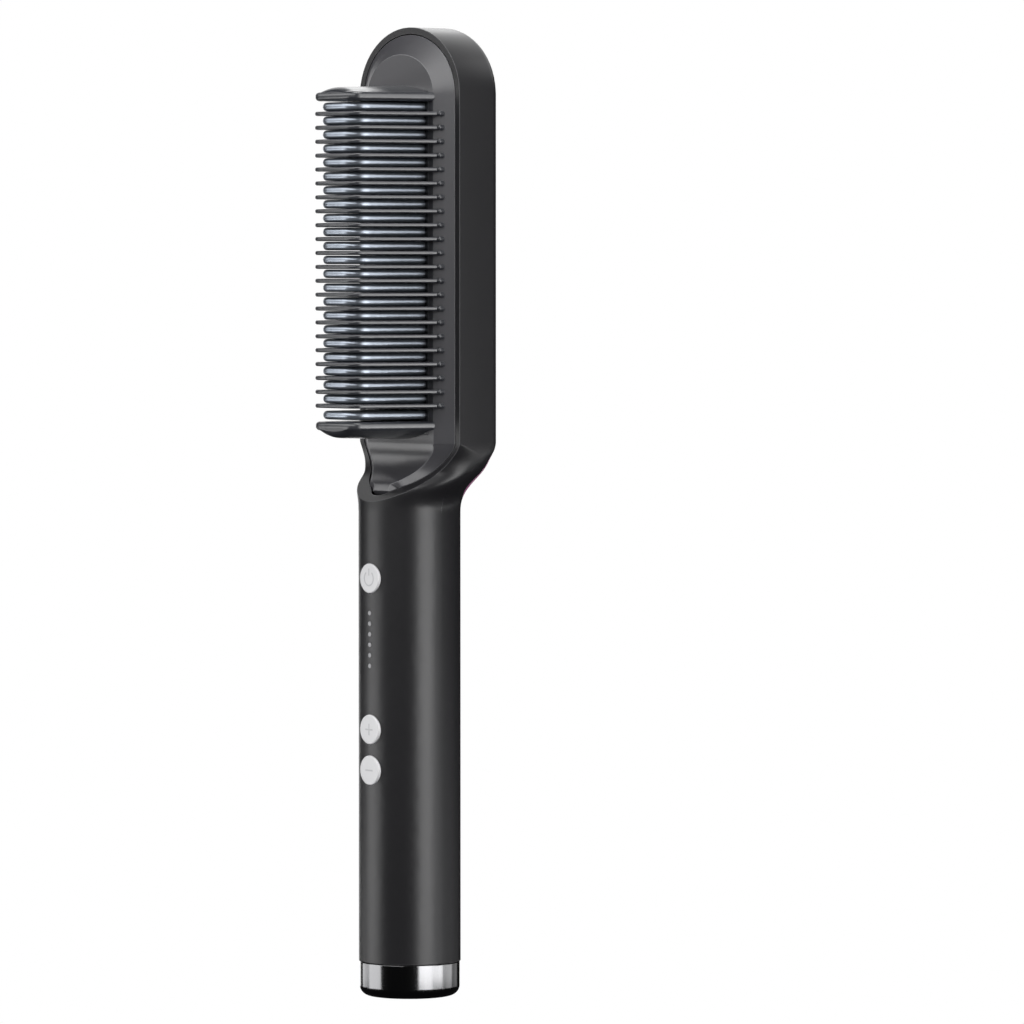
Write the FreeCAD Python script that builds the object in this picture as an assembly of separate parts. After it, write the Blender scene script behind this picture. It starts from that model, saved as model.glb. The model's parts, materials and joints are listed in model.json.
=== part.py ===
import FreeCAD, Part
import math
import os

# Heated styling brush, in millimetres. The handle axis is Z and the brush stands on its end cap at z = 0.
# The comb and the buttons face -Y, the plain back with its ring faces +Y.

# Whole brush
total_length = 285.0
handle_radius = 15.0
shell_wall = 1.9
head_half_width = 23.5
head_top_rise = 20.0
back_edge_radius = 2.5
corner_flat = 0.1
overrun = 2.0
push_gap = 0.1
loose_gap = 0.3

# Neck, where the round handle widens into the head
neck_bottom = 142.6
neck_length = 20.6
# At even steps up the neck: share of the step in half-width, share of the step in back corner radius,
# shares of the half-width at the lip's outer and inner edges, share of the flat side where the front begins
neck_shares = (
    (0.000, 0.000, 0.000, 0.000, 0.00), (0.012, 0.004, 0.000, 0.000, 0.00),
    (0.078, 0.018, 0.230, 0.000, 0.00), (0.218, 0.030, 0.580, 0.180, 0.00),
    (0.418, 0.065, 0.710, 0.400, 0.50), (0.600, 0.180, 0.755, 0.600, 0.80),
    (0.741, 0.360, 0.779, 0.696, 0.90), (0.845, 0.530, 0.820, 0.770, 0.93),
    (0.918, 0.655, 0.864, 0.838, 0.90), (0.967, 0.790, 0.914, 0.905, 0.75),
    (0.993, 0.930, 0.964, 0.963, 0.45), (1.000, 1.000, 1.000, 1.000, 0.00),
)

# Sloped lip at the front of the neck, and the bend from it up to the rim of the head
lip_offset = 3.4
lip_rise = 10.4
lip_bend_radius = 12.0
lip_width = 2.9

# Front panel of the head
panel_gap = 0.35
panel_rise = 3.4
panel_bevel = 5.8
panel_skirt = 2.0
panel_plate = 2.0
panel_join = 0.5
tongue_gap = 0.55
tongue_tip_share = 0.91
tongue_row_gap = 0.25
tongue_rise_share = 0.38
tongue_end_share = 0.2
tongue_tip_bevel = 1.6
tongue_bevel_share = 0.35

# Ring and cover on the back of the head
ring_border = 1.3
ring_end_border = 2.0
ring_band = 3.5
ring_end_band = 5.0
cover_depth = 0.9
cover_film = 0.1
oval_lowering = 0.8

# Guard comb
comb_rise = 0.9
comb_over = 2.8
comb_reach = 28.9
comb_gap = 0.15
rib_pitch = 4.057
rib_thickness = 1.25
rib_tip_half = 9.6
rib_corner_radius = 4.5
rib_edge_radius = 0.5
rib_root_lap = 2.65
rib_root_drop = 1.9
rib_foot_radius = 0.8
rib_foot_inset = 0.3
rib_foot_rise = 0.2
rib_foot_round = 0.7
first_rib_offset = 10.1
last_rib_offset = 8.4
end_plate_thickness = 2.6
end_plate_lap = 0.9
end_plate_edge_radius = 1.1
low_plate_offset = 4.2
high_plate_offset = 3.45
swell_inset = 0.5
swell_sink = 0.6
swell_shoulder_half = 9.0
swell_tip_half = 6.2
swell_round = 3.2
swell_fall = 0.7
swell_steps = 6
window_border = 2.3
window_end_border = 1.8
flange_lap = 1.6
flange_thickness = 1.6

# Heating comb
fin_base_half = 12.2
fin_tip_half = 9.0
fin_setback = 1.0
fin_corner_radius = 6.5
fin_edge_share = 0.48
low_fin_drop = 0.7
fin_slot_gap = 0.1
heating_plate_thickness = 2.5
heating_plate_half = 13.0
heating_plate_margin = 2.2

# Heater stack behind the heating comb
film_thickness = 0.15
film_half = 8.5
electrode_thickness = 0.3
electrode_half = 5.5
heater_half = 6.0
heater_count = 3
heater_spacing = 2.0
clamp_thickness = 1.5
clamp_half = 13.0
ear_radius = 3.2
fuse_room_share = 0.46
fuse_length = 9.0
fuse_offset = 10.8
sensor_room_share = 0.28
sensor_length = 5.0
sensor_offset = 11.3
shield_thickness = 0.5
shield_end_margin = 5.5
shield_half = 20.4

# Bosses and screws of the head
boss_reach = 17.2
boss_radius = 3.0
shell_boss_radius = 4.0
head_boss_low = 8.8
head_boss_high = 7.0
ear_step = 11.0
screw_radius = 1.2
screw_head_radius = 2.4
screw_head_height = 1.6
screw_bite = 4.5
counterbore_floor = 2.2
small_screw_radius = 1.0
small_screw_head_radius = 1.7
small_screw_head_height = 1.1
small_screw_bite = 1.9
thread_gap = 0.05
drive_half = 0.8
drive_slot_half = 0.25
drive_depth = 0.6

# End cap
cap_height = 10.3
cap_inset = 0.25
cap_corner_radius = 3.0
cap_top_chamfer = 0.35
cap_floor = 2.2
spigot_height = 5.0
spigot_wall = 1.6
post_width = 2.0
post_depth = 4.0

# Charging socket and its board
socket_half_width = 4.47
socket_half_height = 1.63
socket_depth = 7.35
socket_wall = 0.3
socket_recess = 0.3
socket_back = 2.4
tongue_half_width = 3.35
tongue_half_thickness = 0.35
tongue_recess = 0.6
charge_board_half = 8.0
charge_board_height = 11.5

# Battery and its cradle
board_depth = 4.8
board_thickness = 1.2
board_cell_gap = 0.35
cradle_back_wall = 1.05
cradle_floor = 1.5
cradle_ledge = 1.8
cradle_top_gap = 4.6
cell_gap = 0.2
cell_length = 50.0
cell_edge_radius = 0.6
cell_tip_radius = 3.0
cell_tip_height = 0.8
contact_thickness = 0.2
contact_half = 3.0
lead_hole_radius = 1.8

# Control board
board_inset = 0.15
board_top_gap = 6.6
board_low_margin = 12.0
board_screw_edge = 2.2
board_screw_inset = 3.0
chip_half = 3.0
chip_height = 1.0
chip_drop = 26.0
driver_half = 2.4
driver_height = 1.5
driver_rise = 4.2

# Buttons on the front line of the handle
power_drop = 19.1
plus_drop = 44.4
minus_drop = 12.0
button_radius = 4.4
button_gap = 0.1
button_proud = 0.25
button_edge_radius = 0.4
button_flange_radius = 5.3
button_flange = 0.8
button_flange_gap = 0.15
button_stem_radius = 1.3
button_travel = 0.4
switch_half = 2.4
switch_height = 1.3
plunger_radius = 1.1
plunger_height = 0.55
plunger_gap = 0.1

# Indicator lights under the power button
indicator_drop = 10.2
indicator_pitch = 3.1
indicator_count = 6
pin_radius = 0.65
guide_half = 1.6
guide_lamp_gap = 0.3
guide_wall_gap = 0.15
guide_foot = 1.4
guide_margin = 2.6
lamp_half_width = 0.4
lamp_half_length = 0.8
lamp_height = 0.7

# Heater leads
lead_radius = 0.8
lead_spread = 3.0
lead_straight = 5.0
lead_climb = 13.0
lead_bend_share = 0.45

# Levels worked out from the sizes above
neck_top = neck_bottom + neck_length
head_centre = total_length - head_top_rise
inner_radius = handle_radius - shell_wall
lip_inner = handle_radius - lip_width
lip_height = neck_bottom + lip_offset
fold_height = lip_height + lip_rise
lip_turn = math.atan2(handle_radius, lip_rise)
bend_tangent = lip_bend_radius * math.tan(lip_turn / 2)
bend_top = fold_height + bend_tangent
bend_low = fold_height - bend_tangent * math.cos(lip_turn)
tongue_low = fold_height - tongue_tip_share * (lip_inner - panel_gap) * lip_rise / handle_radius
tongue_shoulder = tongue_low + tongue_tip_bevel * math.cos(lip_turn)
rim = shell_wall + panel_gap
panel_half = head_half_width - rim
flat_half = panel_half - panel_bevel
join_height = bend_top + panel_join
comb_bottom = join_height + comb_rise
comb_top = head_centre + comb_over
window_half = flat_half - window_border
guard_flange_half = window_half + flange_lap
guard_front = -panel_rise
guard_step = guard_front + panel_plate
guard_back = guard_step + flange_thickness
rib_root_half = flat_half + rib_root_lap
rib_root_level = guard_front + rib_root_drop
fin_thickness = rib_pitch - rib_thickness - comb_gap - comb_gap
first_rib = comb_bottom + first_rib_offset
rib_count = 1 + round((comb_top - last_rib_offset - first_rib) / rib_pitch)
fin_count = rib_count + 1
first_fin = first_rib - rib_pitch / 2
last_fin = first_fin + (fin_count - 1) * rib_pitch
plate_low = first_fin - heating_plate_margin
plate_high = last_fin + heating_plate_margin
plate_back = guard_back + heating_plate_thickness
head_boss_heights = (neck_top + head_boss_low, head_centre - head_boss_high)
ear_heights = (head_boss_heights[0] + ear_step, head_boss_heights[1] - ear_step)
cover_floor = handle_radius - cover_depth - cover_film
counterbore_level = cover_floor - counterbore_floor
shield_front = counterbore_level - counterbore_floor
shield_back = shield_front + shield_thickness
clamp_back = shield_front - small_screw_head_height - loose_gap
back_film_back = clamp_back - clamp_thickness
back_electrode_back = back_film_back - film_thickness
heater_back = back_electrode_back - electrode_thickness
front_film_back = plate_back + film_thickness
front_electrode_back = front_film_back + electrode_thickness
capsule_room = back_film_back - plate_back
fuse_radius = capsule_room * fuse_room_share
sensor_radius = capsule_room * sensor_room_share
spigot_top = cap_height + spigot_height
board_front = -(inner_radius - board_depth)
board_back = board_front + board_thickness
cradle_radius = inner_radius - loose_gap
cell_back = cradle_radius - cradle_back_wall - cell_gap
cell_front = board_back + board_cell_gap
cell_radius = (cell_back - cell_front) / 2
cell_centre = (cell_back + cell_front) / 2
board_half = cell_radius - board_inset
board_screw_reach = board_half - board_screw_edge
cradle_slot_half = board_screw_reach - cradle_ledge
cell_low = spigot_top + cradle_floor + contact_thickness
power_height = neck_bottom - power_drop
plus_height = power_height - plus_drop
minus_height = plus_height - minus_drop
first_indicator = power_height - indicator_drop
last_indicator = first_indicator - (indicator_count - 1) * indicator_pitch
board_top = neck_bottom - board_top_gap
board_low = minus_height - board_low_margin
cradle_top = neck_bottom - cradle_top_gap
button_flange_front = -(math.sqrt(inner_radius ** 2 - button_flange_radius ** 2) - button_flange_gap)
switch_front = board_front - switch_height
plunger_front = switch_front - plunger_height
socket_top = socket_recess + socket_depth

loft_degree = 3
vector = FreeCAD.Vector
x_axis = vector(1, 0, 0)
y_axis = vector(0, 1, 0)
z_axis = vector(0, 0, 1)


def mix(low, high, share):
    return low + (high - low) * share


def block(x_range, y_range, z_range):
    corner = vector(x_range[0], y_range[0], z_range[0])
    return Part.makeBox(x_range[1] - x_range[0], y_range[1] - y_range[0], z_range[1] - z_range[0], corner)


def wide_block(half, y_range, z_range):
    return block((-half, half), y_range, z_range)


def pin_y(radius, y_range, x, z):
    return Part.makeCylinder(radius, y_range[1] - y_range[0], vector(x, y_range[0], z), y_axis)


def pin_z(radius, z_range, x=0, y=0):
    return Part.makeCylinder(radius, z_range[1] - z_range[0], vector(x, y, z_range[0]), z_axis)


def line(start, end):
    return Part.LineSegment(start, end).toShape()


def arc(start, middle, end):
    return Part.Arc(start, middle, end).toShape()


def half_ellipse(centre, side, rise):
    if side.Length >= rise.Length:
        whole = Part.Ellipse(centre + side, centre + rise, centre)
        return Part.ArcOfEllipse(whole, 0, math.pi).toShape()
    whole = Part.Ellipse(centre + rise, centre - side, centre)
    return Part.ArcOfEllipse(whole, -math.pi / 2, math.pi / 2).toShape()


def polygon(points):
    return Part.makePolygon(list(points) + [points[0]])


def rounded_outline(points, radii):
    # Closed outline through the points, with each corner rounded by its radius
    edges = []
    arcs = []
    for index, corner in enumerate(points):
        back = (points[index - 1] - corner).normalize()
        ahead = (points[(index + 1) % len(points)] - corner).normalize()
        half_angle = back.getAngle(ahead) / 2
        inwards = (back + ahead).normalize()
        radius = radii[index]
        reach = radius / math.tan(half_angle)
        centre = corner + inwards * (radius / math.sin(half_angle))
        arcs.append((corner + back * reach, centre - inwards * radius, corner + ahead * reach))
    for index, (start, middle, end) in enumerate(arcs):
        if radii[index] > 0:
            edges.append(arc(start, middle, end))
        edges.append(line(end, arcs[(index + 1) % len(arcs)][0]))
    return Part.Wire(edges)


def fused(first, others):
    return first.multiFuse(others).removeSplitter()


def save(name, shape):
    shape.exportStep("parts/" + name + ".step")
    print(name, len(shape.Solids), "solids", round(shape.Volume, 1), "mm3", shape.isValid())


# Outer form of handle, neck and head

def lip_station(height):
    # Point on the lip, its bend or the rim plane at a height, and the direction out of that surface
    if height >= bend_top:
        turn = 0
        depth = 0
    elif height >= bend_low:
        turn = math.asin((bend_top - height) / lip_bend_radius)
        depth = lip_bend_radius * (math.cos(turn) - 1)
    else:
        turn = lip_turn
        depth = -(fold_height - height) * handle_radius / lip_rise
    return vector(0, depth, height), vector(0, -math.cos(turn), math.sin(turn))


def neck_rows():
    # Height, half-width, back corner radius, lip edge shares and front share of each section of the neck
    rows = []
    for step, (width_share, corner_share, outer_share, inner_share, front_share) in enumerate(neck_shares):
        height = mix(neck_bottom, neck_top, step / (len(neck_shares) - 1))
        half = mix(handle_radius, head_half_width, width_share)
        corner = mix(handle_radius - corner_flat, back_edge_radius, corner_share)
        rows.append((height, half, corner, outer_share, inner_share, front_share))
    return rows


def lip_inner_half(height):
    # Half-width between the inner edges of the lip at a height
    edges = []
    for row_height, half, corner, outer_share, inner_share, front_share in neck_rows():
        edges.append((row_height, (half - shell_wall) * inner_share))
    for lower, upper in zip(edges, edges[1:]):
        if lower[0] <= height <= upper[0]:
            return mix(lower[1], upper[1], (height - lower[0]) / (upper[0] - lower[0]))
    return head_half_width - shell_wall


def section(height, half, depth, corner, centre, reach):
    # Level section: rounded corners at the back, half an ellipse at the front
    slant = corner * math.sqrt(0.5)
    side = depth - corner
    flat = half - corner
    right = (
        vector(half, side, height),
        vector(flat + slant, side + slant, height),
        vector(flat, depth, height),
    )
    left = (
        vector(-flat, depth, height),
        vector(-flat - slant, side + slant, height),
        vector(-half, side, height),
    )
    front_right = vector(half, centre, height)
    front_left = vector(-half, centre, height)
    return Part.Wire([
        line(front_right, right[0]),
        arc(*right),
        line(right[2], left[0]),
        arc(*left),
        line(left[2], front_left),
        half_ellipse(vector(0, centre, height), vector(-half, 0, 0), vector(0, -reach, 0)),
    ])


def handle_block(inset, low):
    radius = handle_radius - inset
    outline = section(low, radius, radius, radius - corner_flat, 0, radius)
    return Part.Face(outline).extrude(vector(0, 0, neck_bottom - low))


def neck_block(inset):
    outlines = []
    for height, half, corner, outer_share, inner_share, front_share in neck_rows():
        edge_share = inner_share if inset > 0 else outer_share
        centre = (handle_radius - corner) * front_share
        reach = handle_radius - inset + centre
        if 0 < edge_share < 1:
            lip_point, outwards = lip_station(height)
            reach = (centre - lip_point.y) / math.sqrt(1 - edge_share ** 2)
        outlines.append(section(height, half - inset, handle_radius - inset, corner - inset, centre, reach))
    return Part.makeLoft(outlines, True, False, False, loft_degree)


def arch_wire(half, rise, low, level):
    # Straight sides under half an ellipse, in the plane y = level
    high_left = vector(-half, level, head_centre)
    high_right = vector(half, level, head_centre)
    low_left = vector(-half, level, low)
    low_right = vector(half, level, low)
    crown = half_ellipse(vector(0, level, head_centre), vector(half, 0, 0), vector(0, 0, rise))
    return Part.Wire([
        line(low_right, high_right),
        crown,
        line(high_left, low_left),
        line(low_left, low_right),
    ])


def head_block(inset):
    front = -handle_radius
    depth = handle_radius - inset
    outline = arch_wire(head_half_width - inset, head_top_rise - inset, neck_top, front)
    solid = Part.Face(outline).extrude(vector(0, depth - front, 0))
    back_edges = []
    for edge in solid.Edges:
        box = edge.BoundBox
        if box.YMin > depth - corner_flat and box.ZMax > neck_top + corner_flat:
            back_edges.append(edge)
    return solid.makeFillet(back_edge_radius - inset, back_edges)


def body_form(inset, low):
    return fused(handle_block(inset, low), [neck_block(inset), head_block(inset)])


def front_cutter():
    # Everything in front of the sloped lip, its bend and the rim plane of the head
    far = handle_radius + head_half_width
    lip_far = fold_height - far * lip_rise / handle_radius
    high = total_length + overrun
    low_point = vector(-far, -bend_tangent * math.sin(lip_turn), bend_low)
    high_point = vector(-far, 0, bend_top)
    middle_turn = lip_turn / 2
    middle = vector(
        -far,
        lip_bend_radius * (math.cos(middle_turn) - 1),
        bend_top - lip_bend_radius * math.sin(middle_turn),
    )
    outline = Part.Wire([
        line(vector(-far, -far, lip_far), low_point),
        arc(low_point, middle, high_point),
        line(high_point, vector(-far, 0, high)),
        line(vector(-far, 0, high), vector(-far, -far, high)),
        line(vector(-far, -far, high), vector(-far, -far, lip_far)),
    ])
    return Part.Face(outline).extrude(vector(far + far, 0, 0))


def oval_prism(border, end_border):
    # Prism through the back of the head on the oval that is set in from the head's edge
    half = head_half_width - border
    rise = head_top_rise - end_border
    low_centre = neck_top - oval_lowering
    high_right = vector(half, 0, head_centre)
    high_left = vector(-half, 0, head_centre)
    low_right = vector(half, 0, low_centre)
    low_left = vector(-half, 0, low_centre)
    outline = Part.Wire([
        line(low_right, high_right),
        half_ellipse(vector(0, 0, head_centre), vector(half, 0, 0), vector(0, 0, rise)),
        line(high_left, low_left),
        half_ellipse(vector(0, 0, low_centre), vector(-half, 0, 0), vector(0, 0, -rise)),
    ])
    return Part.Face(outline).extrude(vector(0, handle_radius + overrun, 0))


def back_layer(form, prism, depth):
    # The outer skin of the back inside a prism, as deep along Y as asked
    lowered = form.copy()
    lowered.translate(vector(0, -depth, 0))
    return prism.common(form).cut(lowered)


def head_boss_places():
    return [(side * boss_reach, height) for side in (-1, 1) for height in head_boss_heights]


def ear_places():
    return [(side * boss_reach, height) for side in (-1, 1) for height in ear_heights]


def indicator_heights():
    return [first_indicator - step * indicator_pitch for step in range(indicator_count)]


def button_heights():
    return (power_height, plus_height, minus_height)


def board_screw_places():
    heights = (board_low + board_screw_inset, board_top - board_screw_inset)
    return [(side * board_screw_reach, height) for side in (-1, 1) for height in heights]


# Casing

def make_body_shell(form):
    hollow = body_form(shell_wall, cap_height - overrun)
    shell = form.cut(front_cutter()).cut(hollow)
    recess_outline = oval_prism(ring_border - push_gap, ring_end_border - push_gap)
    shell = shell.cut(back_layer(form, recess_outline, cover_depth + cover_film))
    bosses = []
    bores = []
    for x, z in head_boss_places():
        bosses.append(pin_y(shell_boss_radius, (shield_back, inner_radius + push_gap), x, z))
        bores.append(pin_y(screw_head_radius + loose_gap, (counterbore_level, handle_radius), x, z))
        bores.append(pin_y(screw_radius + push_gap, (shield_back - overrun, cover_floor), x, z))
    shell = fused(shell, bosses)
    front_range = (-handle_radius - overrun, 0)
    for height in button_heights():
        bores.append(pin_y(button_radius + button_gap, front_range, 0, height))
    for height in indicator_heights():
        bores.append(pin_y(pin_radius + thread_gap, front_range, 0, height))
    return shell.cut(Part.makeCompound(bores))


def make_back_ring(form):
    band = oval_prism(ring_border, ring_end_border)
    opening = oval_prism(ring_border + ring_band, ring_end_border + ring_end_band)
    return back_layer(form, band.cut(opening), cover_depth)


def make_back_panel(form):
    border = ring_border + ring_band + push_gap
    end_border = ring_end_border + ring_end_band + push_gap
    return back_layer(form, oval_prism(border, end_border), cover_depth)


def tongue_wire(height, rise_share):
    # Level section of the tongue: it gets flatter and its bevels narrow towards the tip
    point, outwards = lip_station(height)
    climb_share = min(1, (height - tongue_low) / (bend_top - tongue_low))
    half = lip_inner_half(height) - mix(tongue_gap, panel_gap, climb_share)
    bevel = panel_bevel * mix(tongue_bevel_share, 1, climb_share ** 2)
    rise = panel_rise * mix(tongue_rise_share, 1, climb_share)
    corners = [(half, -panel_skirt), (half, 0), (half - bevel * rise_share, rise * rise_share)]
    for reach, lift in reversed(list(corners)):
        corners.append((-reach, lift))
    return polygon([point + x_axis * reach + outwards * lift for reach, lift in corners])


def make_front_panel():
    base = arch_wire(panel_half, head_top_rise - rim, join_height, 0)
    top = arch_wire(flat_half, head_top_rise - rim - panel_bevel, join_height, -panel_rise)
    raised = Part.makeLoft([base, top], True, True)
    skirt = Part.Face(base).extrude(vector(0, panel_skirt, 0))
    heights = [join_height, bend_top]
    for row in reversed(neck_rows()):
        if tongue_shoulder + tongue_row_gap < row[0] < bend_top - tongue_row_gap:
            heights.append(row[0])
    heights.append(tongue_shoulder)
    tongue = Part.makeLoft([tongue_wire(height, 1) for height in heights], True, False, False, loft_degree)
    tip_wires = [tongue_wire(tongue_shoulder, 1), tongue_wire(tongue_low, tongue_end_share)]
    tongue = tongue.fuse(Part.makeLoft(tip_wires, True, True))
    panel = fused(raised, [skirt, tongue])
    bosses = []
    holes = []
    for x, z in head_boss_places():
        bosses.append(pin_y(boss_radius, (panel_skirt, shield_front), x, z))
        holes.append(pin_y(screw_radius + thread_gap, (shield_front - screw_bite, shield_front), x, z))
    for x, z in ear_places():
        bosses.append(pin_y(boss_radius, (panel_skirt, back_film_back), x, z))
        hole_low = back_film_back - small_screw_bite - push_gap
        holes.append(pin_y(small_screw_radius + thread_gap, (hole_low, back_film_back), x, z))
    panel = fused(panel, bosses)
    pocket_half = guard_flange_half + push_gap
    ends = (comb_bottom - push_gap, comb_top + push_gap)
    holes.append(wide_block(pocket_half, (guard_step, panel_skirt + overrun), ends))
    window_ends = (comb_bottom + window_end_border - push_gap, comb_top - window_end_border + push_gap)
    holes.append(wide_block(window_half + push_gap, (guard_front - overrun, guard_step), window_ends))
    for hole in holes:
        panel = panel.cut(hole)
    return panel


# Guard comb and heating comb

def tooth(halves, levels, thickness, corner_radius, edge_radius):
    # One flat tooth, centred on z = 0, with rounded tip corners and rounded edges
    base_half, tip_half = halves
    base_level, tip_level = levels
    points = (
        vector(base_half, base_level, -thickness / 2),
        vector(tip_half, tip_level, -thickness / 2),
        vector(-tip_half, tip_level, -thickness / 2),
        vector(-base_half, base_level, -thickness / 2),
    )
    outline = rounded_outline(points, (0, corner_radius, corner_radius, 0))
    solid = Part.Face(outline).extrude(vector(0, 0, thickness))
    soft_edges = []
    for edge in solid.Edges:
        box = edge.BoundBox
        if box.ZLength < thickness / 2 and box.YMin < base_level - edge_radius:
            soft_edges.append(edge)
    return solid.makeFillet(edge_radius, soft_edges)


def copies_along_z(shape, heights):
    placed = []
    for height in heights:
        copy = shape.copy()
        copy.translate(vector(0, 0, height))
        placed.append(copy)
    return placed


def panel_section(half_height):
    # The front panel's section where its sides are straight, to seat the teeth on its flat and bevels
    points = (
        vector(panel_half, overrun, -half_height), vector(panel_half, 0, -half_height),
        vector(flat_half, guard_front, -half_height), vector(-flat_half, guard_front, -half_height),
        vector(-panel_half, 0, -half_height), vector(-panel_half, overrun, -half_height),
    )
    return Part.Face(polygon(points)).extrude(vector(0, 0, half_height + half_height))


def guard_tooth(root_half, thickness, edge_radius):
    halves = (root_half, rib_tip_half)
    levels = (rib_root_level, -comb_reach)
    return tooth(halves, levels, thickness, rib_corner_radius, edge_radius)


def swell_wire(half, level, chord, apex):
    left = vector(-half, level, chord)
    right = vector(half, level, chord)
    return Part.Wire([arc(left, vector(0, level, apex), right), line(right, left)])


def end_plate(height, offset, outwards):
    # Thick end tooth with a swelling on its outer face that rounds off at the tip
    plate = guard_tooth(flat_half + end_plate_lap, end_plate_thickness, end_plate_edge_radius)
    plate = plate.cut(panel_section(end_plate_thickness))
    chord = outwards * (end_plate_thickness / 2 - swell_sink)
    wires = [swell_wire(flat_half - swell_inset, guard_front, chord, outwards * offset)]
    for step in range(swell_steps):
        turn = step * math.pi / 2 / swell_steps
        half = mix(swell_tip_half, swell_shoulder_half, math.cos(turn))
        level = -comb_reach + swell_round * (1 - math.sin(turn))
        apex = mix(chord, outwards * (offset - swell_fall), math.cos(turn))
        wires.append(swell_wire(half, level, chord, apex))
    plate = plate.fuse(Part.makeLoft(wires, True, True))
    plate.translate(vector(0, 0, height - outwards * offset))
    return plate


def fin_heights():
    # The lowest fin stands a little apart from the rest
    heights = [first_fin + step * rib_pitch for step in range(fin_count)]
    return [heights[0] - low_fin_drop] + heights[1:]


def make_guard_comb():
    plate_ends = (comb_bottom + window_end_border, comb_top - window_end_border)
    plate = wide_block(window_half, (guard_front, guard_step), plate_ends)
    flange = wide_block(guard_flange_half, (guard_step, guard_back), (comb_bottom, comb_top))
    rib = guard_tooth(rib_root_half, rib_thickness, rib_edge_radius)
    feet = []
    for side in (-1, 1):
        foot_range = (guard_front - rib_foot_rise, guard_front + rib_root_drop)
        foot = pin_y(rib_foot_radius, foot_range, side * (rib_root_half - rib_foot_inset), 0)
        tip_edges = [edge for edge in foot.Edges if edge.BoundBox.YMax < guard_front + rib_foot_round]
        feet.append(foot.makeFillet(rib_foot_round, tip_edges))
    rib = rib.multiFuse(feet).cut(panel_section(rib_foot_radius + rib_thickness))
    ribs = copies_along_z(rib, [first_rib + step * rib_pitch for step in range(rib_count)])
    plates = [end_plate(comb_bottom, low_plate_offset, -1), end_plate(comb_top, high_plate_offset, 1)]
    comb = fused(plate, [flange] + ribs + plates)
    slot_half = fin_base_half + fin_slot_gap
    slot_height = fin_thickness / 2 + fin_slot_gap
    slot_range = (guard_front - overrun, guard_back + overrun)
    slot = wide_block(slot_half, slot_range, (-slot_height, slot_height))
    return comb.cut(Part.makeCompound(copies_along_z(slot, fin_heights())))


def make_heating_comb():
    plate = wide_block(heating_plate_half, (guard_back, plate_back), (plate_low, plate_high))
    halves = (fin_base_half, fin_tip_half)
    levels = (guard_back, -comb_reach + fin_setback)
    fin = tooth(halves, levels, fin_thickness, fin_corner_radius, fin_thickness * fin_edge_share)
    return fused(plate, copies_along_z(fin, fin_heights()))


# Heater stack

def make_heater_plates():
    stack_low = plate_low + heater_spacing
    stack_length = plate_high - heater_spacing - stack_low
    length = (stack_length - (heater_count - 1) * heater_spacing) / heater_count
    plates = []
    for step in range(heater_count):
        low = stack_low + step * (length + heater_spacing)
        plates.append(wide_block(heater_half, (front_electrode_back, heater_back), (low, low + length)))
    return Part.makeCompound(plates)


def make_heater_electrodes():
    ends = (plate_low, plate_high)
    front = wide_block(electrode_half, (front_film_back, front_electrode_back), ends)
    back = wide_block(electrode_half, (heater_back, back_electrode_back), ends)
    return Part.makeCompound([front, back])


def make_insulation_film():
    ends = (plate_low, plate_high)
    front = wide_block(film_half, (plate_back, front_film_back), ends)
    back = wide_block(film_half, (back_electrode_back, back_film_back), ends)
    return Part.makeCompound([front, back])


def make_heater_clamp():
    level = (back_film_back, clamp_back)
    bar = wide_block(clamp_half, level, (plate_low, plate_high))
    ears = []
    holes = []
    for height in ear_heights:
        ears.append(wide_block(boss_reach, level, (height - ear_radius, height + ear_radius)))
    for x, z in ear_places():
        ears.append(pin_y(ear_radius, level, x, z))
        holes.append(pin_y(small_screw_radius + push_gap, level, x, z))
    return fused(bar, ears).cut(Part.makeCompound(holes))


def plate_capsule(radius, length, x):
    # Small round part lying on the back of the heating plate
    middle = (plate_low + plate_high) / 2
    return pin_z(radius, (middle, middle + length), x, plate_back + radius + thread_gap)


def make_thermal_fuse():
    return plate_capsule(fuse_radius, fuse_length, -fuse_offset)


def make_temperature_sensor():
    return plate_capsule(sensor_radius, sensor_length, sensor_offset)


def make_heat_shield():
    ends = (head_boss_heights[0] - shield_end_margin, head_boss_heights[1] + shield_end_margin)
    sheet = wide_block(shield_half, (shield_front, shield_back), ends)
    holes = []
    for x, z in head_boss_places():
        holes.append(pin_y(screw_radius + push_gap, (shield_front, shield_back), x, z))
    return sheet.cut(Part.makeCompound(holes))


# Fasteners: the head faces +Y where direction is 1 and -Y where it is -1

def screw(radius, length, head_size, place, direction):
    head_radius, head_height = head_size
    x, seat, z = place
    shank_end = seat - direction * length
    head_end = seat + direction * head_height
    shank = pin_y(radius, (min(seat, shank_end), max(seat, shank_end)), x, z)
    head = pin_y(head_radius, (min(seat, head_end), max(seat, head_end)), x, z)
    slot_end = head_end - direction * drive_depth
    slot_range = (min(head_end, slot_end), max(head_end, slot_end))
    wide = block((x - drive_half, x + drive_half), slot_range, (z - drive_slot_half, z + drive_slot_half))
    tall = block((x - drive_slot_half, x + drive_slot_half), slot_range, (z - drive_half, z + drive_half))
    return head.fuse(shank).removeSplitter().cut(wide.fuse(tall))


def make_head_screws():
    length = counterbore_level - shield_front + screw_bite - push_gap
    head_size = (screw_head_radius, screw_head_height)
    screws = []
    for x, z in head_boss_places():
        screws.append(screw(screw_radius, length, head_size, (x, counterbore_level, z), 1))
    return Part.makeCompound(screws)


def make_clamp_screws():
    length = clamp_thickness + small_screw_bite
    head_size = (small_screw_head_radius, small_screw_head_height)
    screws = []
    for x, z in ear_places():
        screws.append(screw(small_screw_radius, length, head_size, (x, clamp_back, z), 1))
    return Part.makeCompound(screws)


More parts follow.
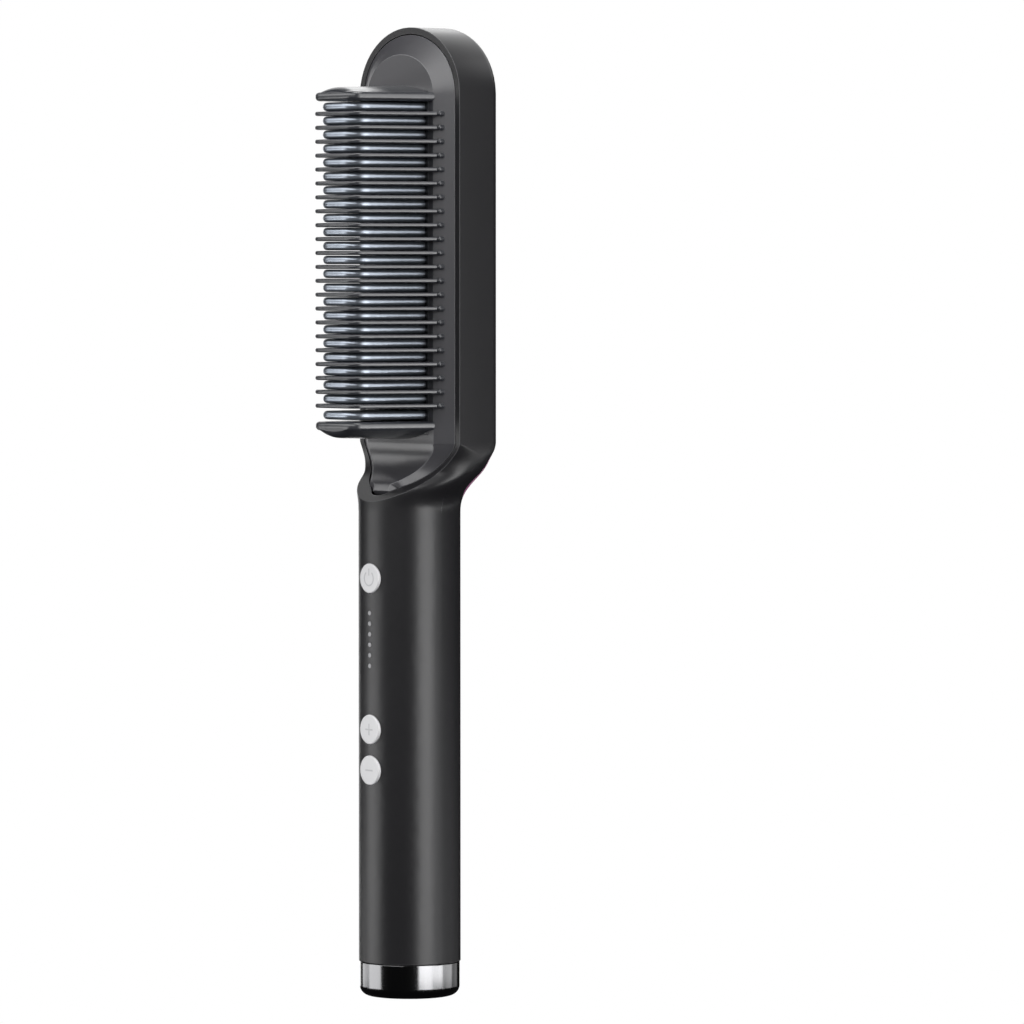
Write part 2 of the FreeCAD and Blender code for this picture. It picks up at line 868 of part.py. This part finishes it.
def make_board_screws():
    length = board_thickness + small_screw_bite
    head_size = (small_screw_head_radius, small_screw_head_height)
    screws = []
    for x, z in board_screw_places():
        screws.append(screw(small_screw_radius, length, head_size, (x, board_front, z), -1))
    return Part.makeCompound(screws)


# End cap and charging socket

def stadium(half_width, half_height, z_range):
    middle = half_width - half_height
    core = block((-middle, middle), (-half_height, half_height), z_range)
    return fused(core, [pin_z(half_height, z_range, side * middle) for side in (-1, 1)])


def make_end_cap():
    radius = handle_radius - cap_inset
    cup = pin_z(radius, (0, cap_height))
    low_edges = [edge for edge in cup.Edges if edge.BoundBox.ZMax < cap_corner_radius]
    cup = cup.makeFillet(cap_corner_radius, low_edges)
    high_edges = [edge for edge in cup.Edges if edge.BoundBox.ZMin > cap_height - cap_top_chamfer]
    cup = cup.makeChamfer(cap_top_chamfer, high_edges)
    spigot_radius = inner_radius - push_gap
    cap = fused(cup, [pin_z(spigot_radius, (cap_height, spigot_top))])
    cap = cap.cut(pin_z(spigot_radius - spigot_wall, (cap_floor, spigot_top + overrun)))
    slot_half_height = socket_half_height + push_gap
    cap = cap.cut(stadium(socket_half_width + push_gap, slot_half_height, (-overrun, cap_floor + overrun)))
    board_range = (socket_half_height - push_gap, socket_half_height + board_thickness + push_gap)
    post_top = cap_floor + charge_board_height / 2
    middle = (board_range[0] + board_range[1]) / 2
    for side in (-1, 1):
        reach = sorted((side * (charge_board_half - post_width), side * (charge_board_half + post_width)))
        depth = (middle - post_depth / 2, middle + post_depth / 2)
        cap = cap.fuse(block(reach, depth, (cap_floor, post_top)))
    slot = wide_block(charge_board_half + push_gap, board_range, (cap_floor, post_top + overrun))
    return cap.removeSplitter().cut(slot)


def make_charge_socket_shell():
    z_range = (socket_recess, socket_top)
    outer = stadium(socket_half_width, socket_half_height, z_range)
    bore_range = (socket_recess - overrun, socket_top + overrun)
    return outer.cut(stadium(socket_half_width - socket_wall, socket_half_height - socket_wall, bore_range))


def make_charge_socket_tongue():
    half_width = socket_half_width - socket_wall - thread_gap
    half_height = socket_half_height - socket_wall - thread_gap
    root = stadium(half_width, half_height, (socket_top - socket_back, socket_top))
    thickness = (-tongue_half_thickness, tongue_half_thickness)
    tongue_ends = (socket_recess + tongue_recess, socket_top - socket_back)
    tongue = wide_block(tongue_half_width, thickness, tongue_ends)
    return fused(root, [tongue])


def make_charge_board():
    level = (socket_half_height, socket_half_height + board_thickness)
    return wide_block(charge_board_half, level, (cap_floor, cap_floor + charge_board_height))


# Battery, cradle and control board

def make_battery_cells():
    cells = []
    for step in range(2):
        low = cell_low + step * (cell_length + cell_tip_height + contact_thickness)
        can = pin_z(cell_radius, (low, low + cell_length), 0, cell_centre)
        end_edges = [edge for edge in can.Edges if edge.BoundBox.ZLength < cell_length / 2]
        can = can.makeFillet(cell_edge_radius, end_edges)
        tip_range = (low + cell_length, low + cell_length + cell_tip_height)
        tip = pin_z(cell_tip_radius, tip_range, 0, cell_centre)
        cells.append(can.fuse(tip))
    return Part.makeCompound(cells)


def make_cell_contacts():
    strips = []
    depth = (cell_centre - contact_half, cell_centre + contact_half)
    for step in range(3):
        high = cell_low + step * (cell_length + cell_tip_height + contact_thickness)
        strips.append(wide_block(contact_half, depth, (high - contact_thickness, high)))
    return Part.makeCompound(strips)


def make_battery_cradle():
    cradle = pin_z(cradle_radius, (spigot_top, cradle_top))
    channel_low = spigot_top + cradle_floor
    channel = pin_z(cell_radius + cell_gap, (channel_low, cradle_top + overrun), 0, cell_centre)
    front_ends = (spigot_top - overrun, cradle_top + overrun)
    front = wide_block(handle_radius, (-handle_radius, board_back), front_ends)
    slot_ends = (channel_low, cradle_top + overrun)
    slot = wide_block(cradle_slot_half, (-handle_radius, cell_centre), slot_ends)
    cradle = cradle.cut(front).cut(channel).cut(slot)
    for side in (-1, 1):
        hole_range = (spigot_top - overrun, channel_low + overrun)
        hole_level = cell_centre + contact_half
        cradle = cradle.cut(pin_z(lead_hole_radius, hole_range, side * cradle_slot_half, hole_level))
    for x, z in board_screw_places():
        hole_range = (board_back - overrun, board_back + small_screw_bite + push_gap)
        cradle = cradle.cut(pin_y(small_screw_radius + thread_gap, hole_range, x, z))
    return cradle


def make_control_board():
    board = wide_block(board_half, (board_front, board_back), (board_low, board_top))
    holes = []
    for x, z in board_screw_places():
        holes.append(pin_y(small_screw_radius + push_gap, (board_front, board_back), x, z))
    return board.cut(Part.makeCompound(holes))


def make_board_chips():
    chip_middle = power_height - chip_drop - chip_half - chip_half
    chip_ends = (chip_middle - chip_half, chip_middle + chip_half)
    controller = wide_block(chip_half, (board_front - chip_height, board_front), chip_ends)
    driver_middle = board_low + driver_rise
    driver_ends = (driver_middle - driver_half, driver_middle + driver_half)
    driver = wide_block(driver_half, (board_front - driver_height, board_front), driver_ends)
    return Part.makeCompound([controller, driver])


def make_switch_bodies():
    bodies = []
    for height in button_heights():
        ends = (height - switch_half, height + switch_half)
        body = wide_block(switch_half, (switch_front, board_front), ends)
        well = (switch_front - overrun, switch_front + button_travel + plunger_height)
        bodies.append(body.cut(pin_y(plunger_radius + plunger_gap, well, 0, height)))
    return Part.makeCompound(bodies)


def make_indicator_lamps():
    lamps = []
    for height in indicator_heights():
        ends = (height - lamp_half_length, height + lamp_half_length)
        lamps.append(wide_block(lamp_half_width, (board_front - lamp_height, board_front), ends))
    return Part.makeCompound(lamps)


def make_light_guide():
    front = -(math.sqrt(inner_radius ** 2 - guide_half ** 2) - guide_wall_gap)
    back = board_front - lamp_height - guide_lamp_gap
    ends = (last_indicator - guide_margin, first_indicator + guide_margin)
    bar = wide_block(guide_half, (front, back), ends)
    pieces = []
    for low in (ends[0], ends[1] - guide_foot):
        pieces.append(wide_block(guide_half, (back, board_front), (low, low + guide_foot)))
    for height in indicator_heights():
        pieces.append(pin_y(pin_radius, (-handle_radius, front), 0, height))
    return fused(bar, pieces)


# Buttons

def make_button(height):
    face = -handle_radius - button_proud
    cap = pin_y(button_radius, (face, button_flange_front), 0, height)
    face_edges = [edge for edge in cap.Edges if edge.BoundBox.YMax < face + button_proud]
    cap = cap.makeFillet(button_edge_radius, face_edges)
    flange_back = button_flange_front + button_flange
    flange = pin_y(button_flange_radius, (button_flange_front, flange_back), 0, height)
    stem = pin_y(button_stem_radius, (flange_back, plunger_front), 0, height)
    return fused(cap, [flange, stem])


def make_plunger(height):
    return pin_y(plunger_radius, (plunger_front, switch_front + plunger_height), 0, height)


# Heater leads: straight runs joined by arcs, from the control board up to the heater

def make_heater_leads():
    start_level = (board_front + board_back) / 2
    end_level = (front_electrode_back + heater_back) / 2
    bend = board_top + lead_straight
    route = (
        vector(0, start_level, board_top), vector(0, start_level, bend),
        vector(0, end_level, bend + lead_climb), vector(0, end_level, plate_low),
    )
    edges = []
    start = route[0]
    for before, corner, after in zip(route, route[1:], route[2:]):
        back = (before - corner).normalize()
        ahead = (after - corner).normalize()
        half_angle = back.getAngle(ahead) / 2
        inwards = (back + ahead).normalize()
        reach = lead_bend_share * min((before - corner).Length, (after - corner).Length)
        radius = reach * math.tan(half_angle)
        centre = corner + inwards * (radius / math.sin(half_angle))
        edges.append(line(start, corner + back * reach))
        edges.append(arc(corner + back * reach, centre - inwards * radius, corner + ahead * reach))
        start = corner + ahead * reach
    edges.append(line(start, route[-1]))
    path = Part.Wire(edges)
    ring = Part.Wire(Part.makeCircle(lead_radius, route[0], z_axis))
    lead = path.makePipeShell([ring], True, False)
    leads = []
    for side in (-1, 1):
        copy = lead.copy()
        copy.translate(vector(side * lead_spread, 0, 0))
        leads.append(copy)
    return Part.makeCompound(leads)


os.makedirs("parts", exist_ok=True)
outer_form = body_form(0, cap_height)
save("body_shell", make_body_shell(outer_form))
save("back_ring", make_back_ring(outer_form))
save("back_panel", make_back_panel(outer_form))
save("front_panel", make_front_panel())
save("guard_comb", make_guard_comb())
save("heating_comb", make_heating_comb())
save("heater_plates", make_heater_plates())
save("heater_electrodes", make_heater_electrodes())
save("insulation_film", make_insulation_film())
save("heater_clamp", make_heater_clamp())
save("clamp_screws", make_clamp_screws())
save("thermal_fuse", make_thermal_fuse())
save("temperature_sensor", make_temperature_sensor())
save("heat_shield", make_heat_shield())
save("head_screws", make_head_screws())
save("end_cap", make_end_cap())
save("charge_socket_shell", make_charge_socket_shell())
save("charge_socket_tongue", make_charge_socket_tongue())
save("charge_board", make_charge_board())
save("battery_cells", make_battery_cells())
save("cell_contacts", make_cell_contacts())
save("battery_cradle", make_battery_cradle())
save("control_board", make_control_board())
save("board_screws", make_board_screws())
save("board_chips", make_board_chips())
save("switch_bodies", make_switch_bodies())
save("indicator_lamps", make_indicator_lamps())
save("light_guide", make_light_guide())
save("heater_leads", make_heater_leads())
for name, height in zip(("power", "plus", "minus"), button_heights()):
    save(name + "_button", make_button(height))
    save(name + "_plunger", make_plunger(height))
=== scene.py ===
import json
import math
import bmesh
import bpy
from mathutils import Matrix, Vector

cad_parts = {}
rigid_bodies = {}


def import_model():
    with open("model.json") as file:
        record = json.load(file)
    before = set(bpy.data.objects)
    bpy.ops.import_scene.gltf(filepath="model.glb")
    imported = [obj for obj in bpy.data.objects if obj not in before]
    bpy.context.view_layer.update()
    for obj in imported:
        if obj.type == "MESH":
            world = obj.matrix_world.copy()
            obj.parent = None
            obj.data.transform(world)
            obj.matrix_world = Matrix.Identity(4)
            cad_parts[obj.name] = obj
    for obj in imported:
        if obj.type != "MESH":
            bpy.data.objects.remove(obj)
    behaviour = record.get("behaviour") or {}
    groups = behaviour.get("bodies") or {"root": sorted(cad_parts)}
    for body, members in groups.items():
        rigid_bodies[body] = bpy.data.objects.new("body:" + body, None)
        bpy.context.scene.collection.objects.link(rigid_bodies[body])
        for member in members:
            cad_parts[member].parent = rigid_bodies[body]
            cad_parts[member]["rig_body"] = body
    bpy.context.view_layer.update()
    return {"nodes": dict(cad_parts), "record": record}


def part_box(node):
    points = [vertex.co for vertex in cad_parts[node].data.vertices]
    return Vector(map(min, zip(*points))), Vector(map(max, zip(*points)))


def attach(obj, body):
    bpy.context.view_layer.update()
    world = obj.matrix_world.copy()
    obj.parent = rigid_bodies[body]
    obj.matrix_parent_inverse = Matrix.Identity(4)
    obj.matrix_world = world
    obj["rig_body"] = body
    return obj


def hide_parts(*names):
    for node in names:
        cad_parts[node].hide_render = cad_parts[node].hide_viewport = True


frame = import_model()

mm = 0.001
scene = bpy.context.scene
print("frame loaded:", len(frame["nodes"]), "nodes")


class Paint:  # one shader socket, so that shader maths reads as plain expressions
    def __init__(self, tree, socket=None):
        self.tree = tree
        self.socket = socket

    def feed(self, value, inlet):
        if isinstance(value, Paint):
            self.tree.links.new(value.socket, inlet)
        else:
            inlet.default_value = value

    def node(self, kind, settings=None, sockets=None, outlet=0):
        made = self.tree.nodes.new("ShaderNode" + kind)
        for key, value in (settings or {}).items():
            setattr(made, key, value)
        for key, value in (sockets or {}).items():
            self.feed(value, made.inputs[key])
        return Paint(self.tree, made.outputs[outlet])

    def maths(self, operation, first, second):
        return self.node("Math", {"operation": operation}, {0: first, 1: second})

    def __add__(self, other):
        return self.maths("ADD", self, other)

    def __radd__(self, other):
        return self.maths("ADD", other, self)

    def __sub__(self, other):
        return self.maths("SUBTRACT", self, other)

    def __rsub__(self, other):
        return self.maths("SUBTRACT", other, self)

    def __mul__(self, other):
        return self.maths("MULTIPLY", self, other)

    def __rmul__(self, other):
        return self.maths("MULTIPLY", other, self)

    def clamped(self, low, high):  # 0 below low, 1 above high
        return self.node("MapRange", {"clamp": True}, {0: self, 1: low, 2: high, 3: 0.0, 4: 1.0})

    def tint(self, low, high):  # colour between two, by this mask
        colours = [value if isinstance(value, Paint) else (*value, 1) for value in (low, high)]
        return self.node("Mix", {"data_type": "RGBA"}, {0: self, 6: colours[0], 7: colours[1]}, 2)

    def noise(self, scale, detail):  # grey mottling over these coordinates
        return self.node("TexNoise", {}, {"Vector": self, "Scale": scale, "Detail": detail}, "Fac")


# What a finish takes where its own dictionary says nothing
commonLook = {
    "metal": 0.0, "coat": 0.0, "coatRough": 0.05, "specular": 0.5, "roughSpread": 0.08,
    "cloudScale": 60.0, "cloudDetail": 3.0, "grainScale": 2500.0, "grainDetail": 4.0, "grainShare": 0.5,
    "stretch": (1, 1, 1), "bump": 0.1, "bumpDepth": 0.03 * mm,
    # the edge entries set the painted edge highlight: rounding radius, samples, strength and the bend over
    # which it grows
    "edge": 0.15 * mm, "edgeSamples": 6, "edgeLift": 0.3, "wear": (0.004, 0.05),
}
finishes = {}


def camelName(words):  # satin_black becomes satinBlack
    first, *others = words.split("_")
    return first + "".join(word.title() for word in others)


def startFinish(name, look):
    look = {**commonLook, **look}
    material = bpy.data.materials.new(name)
    material.use_nodes = True
    tree = material.node_tree
    shader = tree.nodes["Principled BSDF"]
    place = Paint(tree).node("TexCoord", outlet="Object")
    along = place.node("Mapping", {}, {"Vector": place, "Scale": look["stretch"]})
    cloud = place.noise(look["cloudScale"], look["cloudDetail"])
    grain = along.noise(look["grainScale"], look["grainDetail"])
    mask = cloud * (1 - look["grainShare"]) + grain * look["grainShare"]
    # the rounded normal leaves the plain one only along edges, and there the colour is lightened as a
    # painted highlight
    rounded = place.node("Bevel", {"samples": look["edgeSamples"]}, {"Radius": look["edge"]}, "Normal")
    plain = place.node("NewGeometry", outlet="Normal")
    facing = place.node("VectorMath", {"operation": "DOT_PRODUCT"}, {0: rounded, 1: plain}, "Value")
    worn = (1 - facing).clamped(*look["wear"])
    relief = {"Height": grain, "Strength": look["bump"], "Distance": look["bumpDepth"], "Normal": rounded}
    normal = place.node("Bump", {}, relief, "Normal")
    colour = mask.tint(look["dark"], look["light"])
    # painted highlight: along edges the colour is lightened toward a brighter tone
    colour = (worn * look["edgeLift"]).tint(colour, look.get("worn", look["light"]))
    rough = (mask - 0.5) * look["roughSpread"] + look["rough"]  # the mask lies about one half
    place.feed(colour, shader.inputs["Base Color"])
    place.feed(rough, shader.inputs["Roughness"])
    place.feed(normal, shader.inputs["Normal"])
    steady = {"metal": "Metallic", "coat": "Coat Weight", "coatRough": "Coat Roughness",
              "specular": "Specular IOR Level"}
    for key, socket in steady.items():
        shader.inputs[socket].default_value = look[key]
    return material, shader, place, colour


def addFinish(slot, look):
    finishes[slot] = startFinish(camelName(slot), look)[0]


satinBlack = {  # handle, neck and head moulding
    "dark": (0.0088, 0.0085, 0.0097), "light": (0.0125, 0.0122, 0.0138), "worn": (0.17, 0.17, 0.178),
    "rough": 0.37, "roughSpread": 0.06, "cloudScale": 40.0, "grainScale": 5200.0, "bump": 0.06,
    "edge": 0.25 * mm, "edgeLift": 0.7, "wear": (0.014, 0.08),
}
addFinish("satin_black", satinBlack)

greyPanel = {  # bevelled panel under the comb
    "dark": (0.042, 0.0415, 0.046), "light": (0.054, 0.0535, 0.059), "worn": (0.24, 0.24, 0.25),
    "rough": 0.31, "specular": 0.8, "cloudScale": 55.0, "grainScale": 4200.0, "bump": 0.08,
    "edge": 0.3 * mm, "edgeLift": 0.6,
}
addFinish("grey_panel", greyPanel)

glossBlack = {  # polished cover on the back
    "dark": (0.004, 0.004, 0.0045), "light": (0.006, 0.006, 0.007), "rough": 0.2, "roughSpread": 0.05,
    "coat": 0.6, "coatRough": 0.06, "grainScale": 900.0, "bump": 0.015, "edge": 0.2 * mm,
}
addFinish("gloss_black", glossBlack)

pinkRing = {  # pearly lacquer, with the colour painted deeper round the two ends as shade where the curved ends turn away from the side lamps
    "dark": (0.90, 0.60, 0.79), "light": (0.96, 0.68, 0.86), "worn": (0.97, 0.80, 0.90),
    "rough": 0.34, "metal": 0.12, "coat": 0.4, "grainScale": 7000.0, "grainShare": 0.6, "bump": 0.08,
    "edge": 0.18 * mm, "deep": (0.36, 0.022, 0.20),
    "middle": 214 * mm, "paleWithin": 42 * mm, "deepBeyond": 70.56 * mm,
}


def makePinkRing(look):
    material, shader, place, colour = startFinish("pinkRing", look)
    height = place.node("SeparateXYZ", {}, {0: place}, "Z")
    fromMiddle = place.node("Math", {"operation": "ABSOLUTE"}, {0: height - look["middle"]})
    # painted shade: beyond a height from the middle the colour deepens toward the shaded tone at both ends
    endShadeMask = fromMiddle.clamped(look["paleWithin"], look["deepBeyond"])
    place.feed(endShadeMask.tint(colour, look["deep"]), shader.inputs["Base Color"])
    return material


finishes["pink_ring"] = makePinkRing(pinkRing)

guardPlastic = {  # ribs and end plates
    "dark": (0.019, 0.020, 0.024), "light": (0.028, 0.030, 0.036), "worn": (0.09, 0.10, 0.115),
    "rough": 0.31, "specular": 1.0, "cloudScale": 70.0, "grainScale": 4800.0, "bump": 0.05, "edge": 0.2 * mm,
}
addFinish("guard_plastic", guardPlastic)

coatedAluminium = {  # heated fins, drawn along their width
    "dark": (0.27, 0.30, 0.345), "light": (0.38, 0.42, 0.48), "worn": (0.5, 0.54, 0.6),
    "rough": 0.34, "roughSpread": 0.14, "metal": 0.9, "stretch": (0.06, 1, 1), "grainScale": 5200.0,
    "bump": 0.08,
}
addFinish("coated_aluminium", coatedAluminium)

darkChrome = {  # plated end cap
    "dark": (0.145, 0.145, 0.149), "light": (0.175, 0.175, 0.179), "worn": (0.5, 0.5, 0.51),
    "rough": 0.15, "roughSpread": 0.06, "metal": 1.0, "stretch": (1, 1, 0.04), "grainScale": 2400.0,
    "bump": 0.03, "edge": 0.2 * mm,
}
addFinish("dark_chrome", darkChrome)

buttonWhite = {  # satin white caps
    "dark": (0.60, 0.60, 0.61), "light": (0.64, 0.64, 0.65), "worn": (0.70, 0.70, 0.71),
    "rough": 0.34, "grainScale": 4000.0, "bump": 0.03, "edge": 0.2 * mm,
}
addFinish("button_white", buttonWhite)

markGrey = {  # printed marks on the caps
    "dark": (0.45, 0.45, 0.465), "light": (0.51, 0.51, 0.525), "rough": 0.5, "grainScale": 6000.0,
    "bump": 0.04, "edge": 0.03 * mm,
}
addFinish("mark_grey", markGrey)

clearGuide = {  # pale diffusing pins of the indicator row
    "dark": (0.24, 0.24, 0.25), "light": (0.31, 0.31, 0.32), "rough": 0.3, "grainScale": 3000.0,
    "bump": 0.03, "edge": 0.08 * mm,
}
addFinish("clear_guide", clearGuide)

innerFinishes = {  # pieces that the casing hides
    "steel": {"dark": (0.45, 0.45, 0.46), "light": (0.58, 0.58, 0.59), "rough": 0.32, "metal": 1.0,
              "stretch": (0.08, 1, 1)},
    "black_moulding": {"dark": (0.014, 0.014, 0.014), "light": (0.026, 0.026, 0.026), "rough": 0.5},
    "circuit_board": {"dark": (0.008, 0.09, 0.035), "light": (0.02, 0.15, 0.06), "rough": 0.38,
                      "cloudScale": 900.0},
    "lamp_body": {"dark": (0.74, 0.73, 0.66), "light": (0.82, 0.81, 0.75), "rough": 0.35},
    "cell_can": {"dark": (0.02, 0.11, 0.30), "light": (0.04, 0.18, 0.42), "rough": 0.3, "coat": 0.5,
                 "stretch": (1, 1, 0.1)},
    "nickel": {"dark": (0.54, 0.52, 0.48), "light": (0.66, 0.64, 0.60), "rough": 0.3, "metal": 1.0,
               "stretch": (0.1, 1, 1)},
    "heater_ceramic": {"dark": (0.15, 0.145, 0.14), "light": (0.24, 0.23, 0.22), "rough": 0.7,
                       "grainScale": 1800.0},
    "amber_film": {"dark": (0.48, 0.21, 0.02), "light": (0.62, 0.31, 0.05), "rough": 0.22, "coat": 0.3},
    "bare_aluminium": {"dark": (0.62, 0.62, 0.63), "light": (0.74, 0.74, 0.75), "rough": 0.4, "metal": 1.0,
                       "stretch": (0.05, 1, 1)},
    "lead_cover": {"dark": (0.34, 0.03, 0.025), "light": (0.46, 0.05, 0.04), "rough": 0.55},
}
for slot, look in innerFinishes.items():
    addFinish(slot, look)
print("finishes made:", len(finishes))


# Every CAD node is copied, its loose triangles joined, and its soft and sharp edges told apart
copyLook = {"joinWithin": 0.002 * mm, "sharpOver": math.radians(24)}


def addPiece(name, shape, body, finish):
    mesh = bpy.data.meshes.new(name)
    shape.to_mesh(mesh)
    shape.free()
    mesh.materials.append(finish)
    piece = bpy.data.objects.new(name, mesh)
    scene.collection.objects.link(piece)
    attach(piece, body)
    return piece


def smoothCopy(node, slot):
    shape = bmesh.new()
    shape.from_mesh(frame["nodes"][node].data)
    for layers in (shape.loops.layers.float_vector, shape.loops.layers.uv):
        for layer in list(layers.values()):
            layers.remove(layer)
    bmesh.ops.remove_doubles(shape, verts=shape.verts, dist=copyLook["joinWithin"])
    for face in shape.faces:
        face.smooth = True
        face.material_index = 0
    for edge in shape.edges:
        edge.smooth = edge.calc_face_angle(0) < copyLook["sharpOver"]
    body = frame["nodes"][node]["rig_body"]
    piece = addPiece(camelName(node), shape, body, finishes[slot])
    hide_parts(node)


for part in frame["record"]["subparts"]:
    smoothCopy(part["node"], part["material_slot"])


# Marks on the buttons: thin raised print, a hair above each cap
markLook = {
    "lift": 0.03 * mm, "sink": 0.05 * mm, "stroke": 0.46 * mm, "bar": 3.4 * mm, "powerBar": 2.1 * mm,
    "ring": 2.1 * mm, "ringFrom": math.radians(128), "ringTurn": math.radians(284), "ringSteps": 48,
    "joinWithin": 0.0001 * mm,
}


def markBar(shape, centre, width, height, depthRange):
    size = Matrix.Diagonal((width, depthRange[1] - depthRange[0], height, 1))
    middle = Vector((centre[0], (depthRange[0] + depthRange[1]) / 2, centre[1]))
    bmesh.ops.create_cube(shape, size=1, matrix=Matrix.Translation(middle) @ size)


def markRing(shape, centre, look, depthRange):
    pivot = Vector((centre[0], 0, centre[1]))
    outward = Vector((math.cos(look["ringFrom"]), 0, math.sin(look["ringFrom"])))
    corners = []
    for reach in (look["ring"] - look["stroke"] / 2, look["ring"] + look["stroke"] / 2):
        for depth in depthRange:
            corners.append(shape.verts.new(pivot + outward * reach + Vector((0, depth, 0))))
    face = shape.faces.new((corners[0], corners[1], corners[3], corners[2]))
    bmesh.ops.spin(shape, geom=[face], cent=pivot, axis=(0, -1, 0), angle=look["ringTurn"],
                   steps=look["ringSteps"])
    # the starting face stays behind as one end, and the sweep brings its own other end
    bmesh.ops.remove_doubles(shape, verts=shape.verts, dist=look["joinWithin"])
    bmesh.ops.recalc_face_normals(shape, faces=shape.faces)


def makeMark(word, look):
    low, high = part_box(word + "_button")
    middle = ((low.x + high.x) / 2, (low.z + high.z) / 2)
    depth = (low.y - look["lift"], low.y + look["sink"])
    shape = bmesh.new()
    if word == "power":
        markRing(shape, middle, look, depth)
        top = (middle[0], middle[1] + look["ring"] - look["stroke"] / 2)
        markBar(shape, top, look["stroke"], look["powerBar"], depth)
    else:
        markBar(shape, middle, look["bar"], look["stroke"], depth)
    if word == "plus":  # the upright is two halves, above and below the level bar
        half = (look["bar"] - look["stroke"]) / 2
        for side in (-1, 1):
            centre = (middle[0], middle[1] + side * (look["stroke"] + half) / 2)
            markBar(shape, centre, look["stroke"], half, depth)
    addPiece(word + "Mark", shape, word + "_button", finishes["mark_grey"])


for word in ("power", "plus", "minus"):
    makeMark(word, markLook)
print("marks made")


# Camera at the three-quarter view, the brush left of the middle
cameraLook = {
    "azimuth": math.radians(50.5), "distance": 1.9, "aside": 30.2 * mm, "aim": 142.6 * mm,
    "rise": 74.3 * mm, "lens": 227.0, "sensor": 36.0, "farthest": 50.0,
}


def bearing(azimuth):  # 0 is straight in front of the comb, a quarter turn is +X
    return Vector((math.sin(azimuth), -math.cos(azimuth), 0))


def setUp(name, data, place, target):
    thing = bpy.data.objects.new(name, data)
    thing.location = place
    thing.rotation_euler = (target - place).to_track_quat("-Z", "Y").to_euler()
    scene.collection.objects.link(thing)
    return thing


imageRight = Vector((math.cos(cameraLook["azimuth"]), math.sin(cameraLook["azimuth"]), 0))
aim = imageRight * cameraLook["aside"] + Vector((0, 0, cameraLook["aim"]))
standBack = bearing(cameraLook["azimuth"]) * cameraLook["distance"]
cameraPlace = aim + standBack + Vector((0, 0, cameraLook["rise"]))
cameraData = bpy.data.cameras.new("camera")
cameraData.lens = cameraLook["lens"]
cameraData.sensor_width = cameraLook["sensor"]
cameraData.clip_end = cameraLook["farthest"]
scene.camera = setUp("camera", cameraData, cameraPlace, aim)

# Soft boxes round the brush: azimuth and spread in degrees, brightness, lower and upper edge
boxLook = {
    "rightLow": (88.5, 33.0, 6.6, -0.15, 0.125),
    "rightHigh": (92.0, 46.0, 2.6, 0.125, 1.0),
    "leftBox": (-37.5, 38.0, 3.4, -0.18, 0.12),
    "frontBox": (-12.0, 95.0, 2.9, 0.37, 1.1),
    "backBox": (240.0, 34.0, 1.5, -0.12, 1.0),
    "capTail": (119.0, 28.0, 8.0, -0.125, -0.07),  # four strips for the end cap, from below the floor
    "capEnd": (149.0, 32.0, 2.8, -0.125, -0.07),
    "capDim": (178.0, 26.0, 0.65, -0.125, -0.07),
    "capLeft": (-72.0, 30.0, 2.4, -0.125, -0.07),
    "backHigh": (190.0, 84.0, 1.9, 0.62, 1.3),  # for the ring on the back
}
lightLook = {
    "away": 0.9, "topSize": 0.5, "topGlow": 6.5, "topPlace": (0.15, -0.1, 1.1), "topAim": (0, 0, 0.2),
}


def addBox(name, size, glow, place, target):
    lampData = bpy.data.lights.new(name, "AREA")
    lampData.shape = "RECTANGLE"
    lampData.size, lampData.size_y = size
    lampData.energy = glow * math.pi * size[0] * size[1]
    setUp(name, lampData, place, target)


for name, (turn, spread, glow, low, high) in boxLook.items():
    width = 2 * lightLook["away"] * math.tan(math.radians(spread) / 2)
    target = Vector((0, 0, (low + high) / 2))
    place = target + bearing(math.radians(turn)) * lightLook["away"]
    addBox(name, (width, high - low), glow, place, target)
topSize = (lightLook["topSize"], lightLook["topSize"])
addBox("topBox", topSize, lightLook["topGlow"], Vector(lightLook["topPlace"]), Vector(lightLook["topAim"]))

# White surroundings for the camera, soft fill for matt colour, nearly none for reflections
worldLook = {"seen": (1.0, 1.0, 1.0), "fill": (0.2, 0.2, 0.203), "dim": (0.012, 0.012, 0.0125)}
world = bpy.data.worlds.new("studio")
world.use_nodes = True
scene.world = world
backdrop = world.node_tree.nodes["Background"]
diffuseRay = Paint(world.node_tree).node("LightPath", outlet="Is Diffuse Ray")
cameraRay = Paint(world.node_tree).node("LightPath", outlet="Is Camera Ray")
surroundings = cameraRay.tint(diffuseRay.tint(worldLook["dim"], worldLook["fill"]), worldLook["seen"])
cameraRay.feed(surroundings, backdrop.inputs["Color"])
scene.view_settings.view_transform = "Standard"
scene.view_settings.look = "None"

# White floor under the end cap, which neither shades the brush nor shows in it
floorLook = {
    "half": 6.0, "cells": 4, "drop": 0.2 * mm,
    "sockets": {"Base Color": (0, 0, 0, 1), "Specular IOR Level": 0.0, "Emission Color": (1, 1, 1, 1),
                "Emission Strength": 1.0},
}
floorShape = bmesh.new()
bmesh.ops.create_grid(floorShape, x_segments=floorLook["cells"], y_segments=floorLook["cells"],
                      size=floorLook["half"], matrix=Matrix.Translation((0, 0, -floorLook["drop"])))
floorMesh = bpy.data.meshes.new("floor")
floorShape.to_mesh(floorMesh)
floorShape.free()
floorFinish = bpy.data.materials.new("floorWhite")
floorFinish.use_nodes = True
floorShader = floorFinish.node_tree.nodes["Principled BSDF"]
for socket, value in floorLook["sockets"].items():
    floorShader.inputs[socket].default_value = value
floorMesh.materials.append(floorFinish)
floor = bpy.data.objects.new("floor", floorMesh)
floor.visible_glossy = False
floor.visible_diffuse = False
floor.visible_shadow = False
scene.collection.objects.link(floor)
print("studio set")
